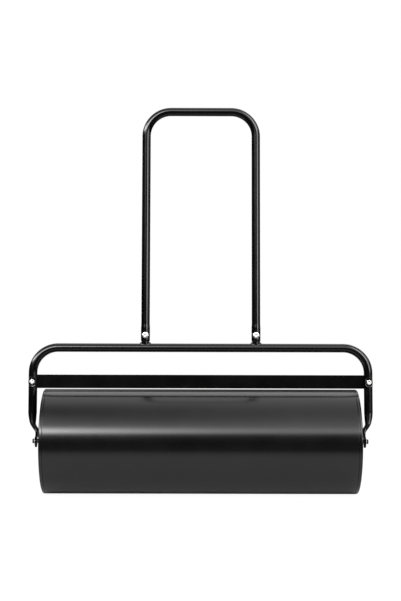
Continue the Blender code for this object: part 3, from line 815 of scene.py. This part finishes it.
def axle_rod():
    """The fixed rod, drilled for the axle bolts at both ends; the drill leaves a cone."""
    half = plane_box("axle_rod")[1].x
    drilled, tap, tip = BOLT_RADIUS + GAP, half - TAPPED_DEPTH, half - DRILLED_DEPTH
    corners = [(AXLE_ROD_RADIUS, half, 0.0006), (AXLE_ROD_RADIUS, -half, 0.0006), (drilled, -half),
               (drilled, -tap), (0, -tip), (0, tip), (drilled, tap), (drilled, half)]
    piece("axle_rod_skin", turned(rounded(corners, 0.0), LATHE_SIDES), LEANING @ towards(RIGHT, Vector()),
          "frame_paint", "frame", "axle_rod")


def frame_fasteners(side):
    """The fasteners of one side, each facing the way its head or nut does, and the leg's saddle."""
    outward = RIGHT * SIDES[side]
    bolt("axle_bolt_" + side, outward, AXLE_BOLT_SHANK, slot="frame_paint")
    washer("axle_washer_" + side, outward)
    leg_saddle(side)
    bolt("leg_bolt_" + side, FRONT, LEG_BOLT_SHANK)
    washer("leg_washer_" + side, BACK)
    lock_nut("leg_nut_" + side, BACK)
    bolt("handle_bolt_" + side, FRONT, HANDLE_BOLT_SHANK, flange=True)
    washer("handle_washer_" + side, BACK)
    lock_nut("handle_nut_" + side, BACK)


# ---------------------------------------------------------------- handle

HANDLE_LOW, HANDLE_HIGH = plane_box("handle_tube")
HANDLE_TOP = HANDLE_HIGH.z - HANDLE_RADIUS
HANDLE_X = middle(*plane_box("handle_bolt_right")).x
HANDLE_SWAGE = 0.040
STUB_WELD_LEG = 0.0058
STUB_WELD_RISE = 0.0052


def handle_tube():
    """The U handle: swaged out where it slips over the stubs, with its ends rolled in."""
    end = HANDLE_LOW.z
    lip = 0.0006
    stations = [(end + 0.012, HANDLE_BORE), (end + lip, HANDLE_BORE), (end + 0.0001, HANDLE_BORE + 0.0002),
                (end, HANDLE_BORE + lip), (end + 0.0004, HANDLE_BORE + 0.0012)]
    stations += [(end + 0.005 * sin(a), HANDLE_SWAGE_RADIUS - 0.0011 * (1 - sin(a)) ** 2)
                 for a in (0.3, 0.6, 0.95, 1.3, pi / 2)]
    drop = HANDLE_SWAGE_RADIUS - HANDLE_RADIUS
    stations += [(end + HANDLE_SWAGE + 0.012 * t, HANDLE_RADIUS + drop * (1 - t * t * (3 - 2 * t)))
                 for t in (0, 0.2, 0.4, 0.6, 0.8, 1)]
    rings = [tube_ring(Vector((-HANDLE_X, 0, z)), RIGHT, r) for z, r in stations]
    rings += quarter_bend(bend_centre(HANDLE_X, HANDLE_TOP), HANDLE_RADIUS)
    rings.append(tube_ring(Vector((0, 0, HANDLE_TOP)), -UP, HANDLE_RADIUS))
    piece("handle_tube_skin", whole_u(rings), LEANING, "frame_paint", "frame", "handle_tube")


def on_frame_tube(along, around):
    """A point on the top tube's surface: along its axis, and a distance round it from its crown."""
    turn = around / FRAME_RADIUS
    return Vector((along, FRAME_RADIUS * sin(turn), FRAME_RADIUS * cos(turn)))


def handle_stub(side):
    """The welded stub inside the handle's end, with its foot coped to the frame tube and its weld."""
    node = "handle_stub_" + side
    top = plane_box(node)[1].z - FRAME_TOP
    place = LEANING @ Matrix.Translation((SIDES[side] * HANDLE_X, 0, FRAME_TOP))

    def coped(radius):
        return [Vector((radius * cos(a), radius * sin(a), sqrt(FRAME_RADIUS ** 2 - (radius * sin(a)) ** 2)))
                for a in turns(TUBE_SIDES)]

    rings = [coped(STUB_RADIUS), circle(STUB_RADIUS, top, TUBE_SIDES),
             circle(STUB_BORE, top, TUBE_SIDES), coped(STUB_BORE)]
    piece(node + "_tube", skin(rings, loop=True), place, "frame_paint", "frame", node)

    def reach(turn):
        return FRAME_RADIUS * asin(STUB_RADIUS * sin(turn) / FRAME_RADIUS)

    def sideways(turn):
        """1 at the two sides along the frame tube, where the weld is fullest, and 0 at the front and back."""
        return abs(cos(turn)) ** 1.5

    def foot(turn):
        leg = STUB_WELD_LEG * (0.45 + 0.55 * sideways(turn))
        return on_frame_tube((STUB_RADIUS + leg) * cos(turn), reach(turn) + leg * sin(turn))

    def root(turn):
        return on_frame_tube((STUB_RADIUS - GAP) * cos(turn), reach(turn) * 0.97) - UP * GAP

    def wall(turn):
        lift = on_frame_tube(0, reach(turn)).z + STUB_WELD_RISE * (0.35 + 0.65 * sideways(turn))
        return Vector((STUB_RADIUS * cos(turn), STUB_RADIUS * sin(turn), lift))

    piece("stub_weld_" + side, bead(foot, wall, root, 0.0011, 18), place, "frame_paint", "frame")


# ---------------------------------------------------------------- build the roller

drum_shell()
drum_seam()
axle_tube()
fill_opening()
frame_tube()
cross_bar()
axle_rod()
handle_tube()
for side in SIDES:
    end_cap(side)
    hub_bush(side)
    frame_fasteners(side)
    handle_stub(side)


# ---------------------------------------------------------------- camera

CAMERA_AT = (-0.0124, -3.664, 0.5644)
CAMERA_LENS = 74.93
SENSOR_WIDTH = 36.0


def camera():
    """A long lens level with the middle of the roller, turned and rolled by a hair."""
    yaw, roll = 0.0031, 0.0026
    forward = Vector((sin(yaw), cos(yaw), 0))
    level = Vector((cos(yaw), -sin(yaw), 0))
    right = level * cos(roll) + UP * sin(roll)
    up = UP * cos(roll) - level * sin(roll)
    made = bpy.data.objects.new("camera", bpy.data.cameras.new("camera"))
    made.data.lens = CAMERA_LENS
    made.data.sensor_width = SENSOR_WIDTH
    turned_to = Matrix((right, up, -forward)).transposed().to_4x4()
    made.matrix_world = Matrix.Translation(CAMERA_AT) @ turned_to
    bpy.context.scene.collection.objects.link(made)
    bpy.context.scene.camera = made


# ---------------------------------------------------------------- light and floor

# The studio's brightness at each elevation in degrees, set until the drum's bands came close to the photo's
FRONT_SKY = ((-90, 0.05), (-2, 0.03), (6, 0.05), (11, 0.08), (15, 0.10), (18, 0.14), (21, 0.65),
             (23.5, 2.5), (26, 4.2), (29, 4.7), (33, 3.8), (38, 2.5), (44, 2.05), (52, 1.35),
             (63, 1.0), (77, 0.97), (90, 1.10))
BACK_SKY = ((-90, 0.08), (0, 0.10), (10, 0.20), (18, 0.9), (26, 1.7), (36, 1.4), (43, 1.27),
            (48, 1.6), (54, 1.3), (69, 1.18), (80, 1.23), (90, 1.10))
BRIGHTEST = 10.0

# Upright lamps: bearings (from, full, full, to), elevations (from, full), all in degrees, and brightness
UPRIGHTS = (((27, 33, 46, 55), (4, 9), 7.8),
            ((48, 58, 84, 100), (-2, 7), 0.8),
            ((-37, -31, -14, -8), (9, 13), 1.1),
            ((132, 142, 160, 168), (12, 22), 2.2),
            ((-168, -160, -142, -132), (12, 22), 1.6))
LAMP_TOP = (70, 45)


def sky_ramp(graph, place, stops):
    """Brightness over elevation, from straight down to straight up."""
    ramp = graph.add("ValToRGB", {0: place})
    elements = ramp.color_ramp.elements
    while len(elements) > 1:
        elements.remove(elements[-1])
    for i, (elevation, level) in enumerate(stops):
        element = elements[0] if i == 0 else elements.new(elevation / 180 + 0.5)
        element.position = elevation / 180 + 0.5
        element.color = grey(level / BRIGHTEST)
    return graph.math('MULTIPLY', ramp.outputs[0], BRIGHTEST)


def studio():
    """White to the camera. In reflections: a dark room, a long softbox in front, a pale ceiling
    and a few upright lamps."""
    world = bpy.data.worlds.new("studio")
    bpy.context.scene.world = world
    world.use_nodes = True
    world.node_tree.nodes.clear()
    graph = Graph(world.node_tree)
    direction = graph.add("TexCoord").outputs["Generated"]
    axes = graph.add("SeparateXYZ", {0: direction}).outputs
    elevation = graph.math('ARCSINE', axes["Z"])
    place = graph.math('ADD', graph.math('DIVIDE', elevation, pi), 0.5)
    facing = graph.span(axes["Y"], -0.25, 0.25)
    ahead = graph.math('SUBTRACT', 1.0, facing)
    across = graph.math('ABSOLUTE', axes["X"])
    slab = graph.span(across, 0.26, 0.16)
    room = graph.span(across, 0.26, 0.16, 0.09, 1.0)

    # the front light is wider high up than low down; its bright band is stronger to the left,
    # and the light above that band is stronger to the right
    box = graph.math('MAXIMUM', slab, graph.span(elevation, radians(15), radians(23), 0.09, 0.8))
    band = graph.math('MULTIPLY', graph.span(elevation, radians(10), radians(18)),
                      graph.span(elevation, radians(40), radians(24)))
    leftward = graph.math('ADD', graph.span(axes["X"], 0.06, -0.16, 0.0, 2.0),
                          graph.span(axes["X"], -0.108, -0.134, 0.0, 2.6))
    key = graph.math('ADD', 0.75, graph.math('MULTIPLY', leftward, band))
    tilt = graph.math('MULTIPLY', graph.span(axes["X"], -0.15, 0.15, -0.25, 0.30),
                      graph.span(elevation, radians(36), radians(58)))
    key = graph.math('ADD', key, tilt)
    front = graph.math('MULTIPLY', sky_ramp(graph, place, FRONT_SKY), graph.math('MULTIPLY', key, box))
    back = graph.math('MULTIPLY', sky_ramp(graph, place, BACK_SKY), room)
    sky = graph.math('ADD', graph.math('MULTIPLY', front, ahead), graph.math('MULTIPLY', back, facing))

    bearing = graph.math('ARCTAN2', axes["X"], graph.math('MULTIPLY', axes["Y"], -1.0))
    for (start, on, off, end), (foot, full), level in UPRIGHTS:
        lamp = graph.math('MULTIPLY', graph.span(bearing, radians(start), radians(on)),
                          graph.span(bearing, radians(end), radians(off)))
        lamp = graph.math('MULTIPLY', lamp, graph.span(elevation, radians(foot), radians(full)))
        lamp = graph.math('MULTIPLY', lamp, graph.span(elevation, *map(radians, LAMP_TOP)))
        sky = graph.math('ADD', sky, graph.math('MULTIPLY', lamp, level))
    seen = graph.add("LightPath").outputs["Is Camera Ray"]
    white = graph.add("Background", {"Color": grey(1.0), "Strength": 1.0}).outputs[0]
    around = graph.add("Background", {"Color": grey(1.0), "Strength": sky}).outputs[0]
    both = graph.add("MixShader", {0: seen, 1: around, 2: white}).outputs[0]
    graph.add("OutputWorld", {"Surface": both})


def floor():
    """A pale sheet. The camera sees it white; in reflections and bounced light it shows a painted pool of
    light round the roller and painted shade past it, where it gives hardly any light back.
    """
    half = 4.0
    corners = [Vector((x, y, 0)) for x, y in ((-half, -half), (half, -half), (half, half), (-half, half))]
    mesh = bpy.data.meshes.new("floor")
    mesh.from_pydata(corners, [], [(0, 1, 2, 3)])
    made = bpy.data.objects.new("floor", mesh)
    bpy.context.scene.collection.objects.link(made)
    sheet = bpy.data.materials.new("floor_sheet")
    sheet.use_nodes = True
    sheet.node_tree.nodes.clear()
    graph = Graph(sheet.node_tree)
    spot = graph.add("TexCoord").outputs["Object"]
    distances = graph.add("VectorMath", {0: spot}, operation='ABSOLUTE').outputs[0]
    away = graph.add("SeparateXYZ", {0: distances}).outputs
    # painted light: 1 round the roller and 0 far from it, the mask of the painted pool of light and of the
    # painted shade beyond
    reach = graph.math('MULTIPLY', graph.span(away["Y"], 0.80, 0.28), graph.span(away["X"], 1.3, 0.6))
    grain = graph.span(graph.noise(spot, 3.0, 3.0), 0.3, 0.7, 0.97, 1.0)
    lit = graph.add("BsdfDiffuse", {"Color": graph.mix(grain, grey(0.9), grey(0.93))}).outputs[0]
    glow = graph.add("Emission", {"Strength": 1.0}).outputs[0]
    lit = graph.add("MixShader", {0: 0.95, 1: lit, 2: glow}).outputs[0]
    # painted light and shade, seen only off the camera: the floor is pale round the roller and near black
    # past it, standing in for how the studio's light falls off
    painted_light_floor = graph.add("BsdfDiffuse", {"Color": graph.mix(reach, grey(0.04), grey(0.40))}).outputs[0]
    seen = graph.add("LightPath").outputs["Is Camera Ray"]
    both = graph.add("MixShader", {0: seen, 1: painted_light_floor, 2: lit}).outputs[0]
    graph.add("OutputMaterial", {"Surface": both})
    mesh.materials.append(sheet)


def softbox(name, at, aim, size, power):
    """A large soft lamp that brightens the floor but leaves no shape in the gloss."""
    data = bpy.data.lights.new(name, 'AREA')
    data.shape = 'RECTANGLE'
    data.size, data.size_y = size
    data.energy = power
    lamp = bpy.data.objects.new(name, data)
    bpy.context.scene.collection.objects.link(lamp)
    lamp.matrix_world = towards(at - aim, at)
    lamp.visible_camera = False
    lamp.visible_glossy = False


camera()
studio()
floor()
softbox("overhead", at=Vector((0, -0.6, 3.2)), aim=Vector((0, 0, 0)), size=(4.0, 3.0), power=60.0)
bpy.context.scene.view_settings.view_transform = 'Standard'
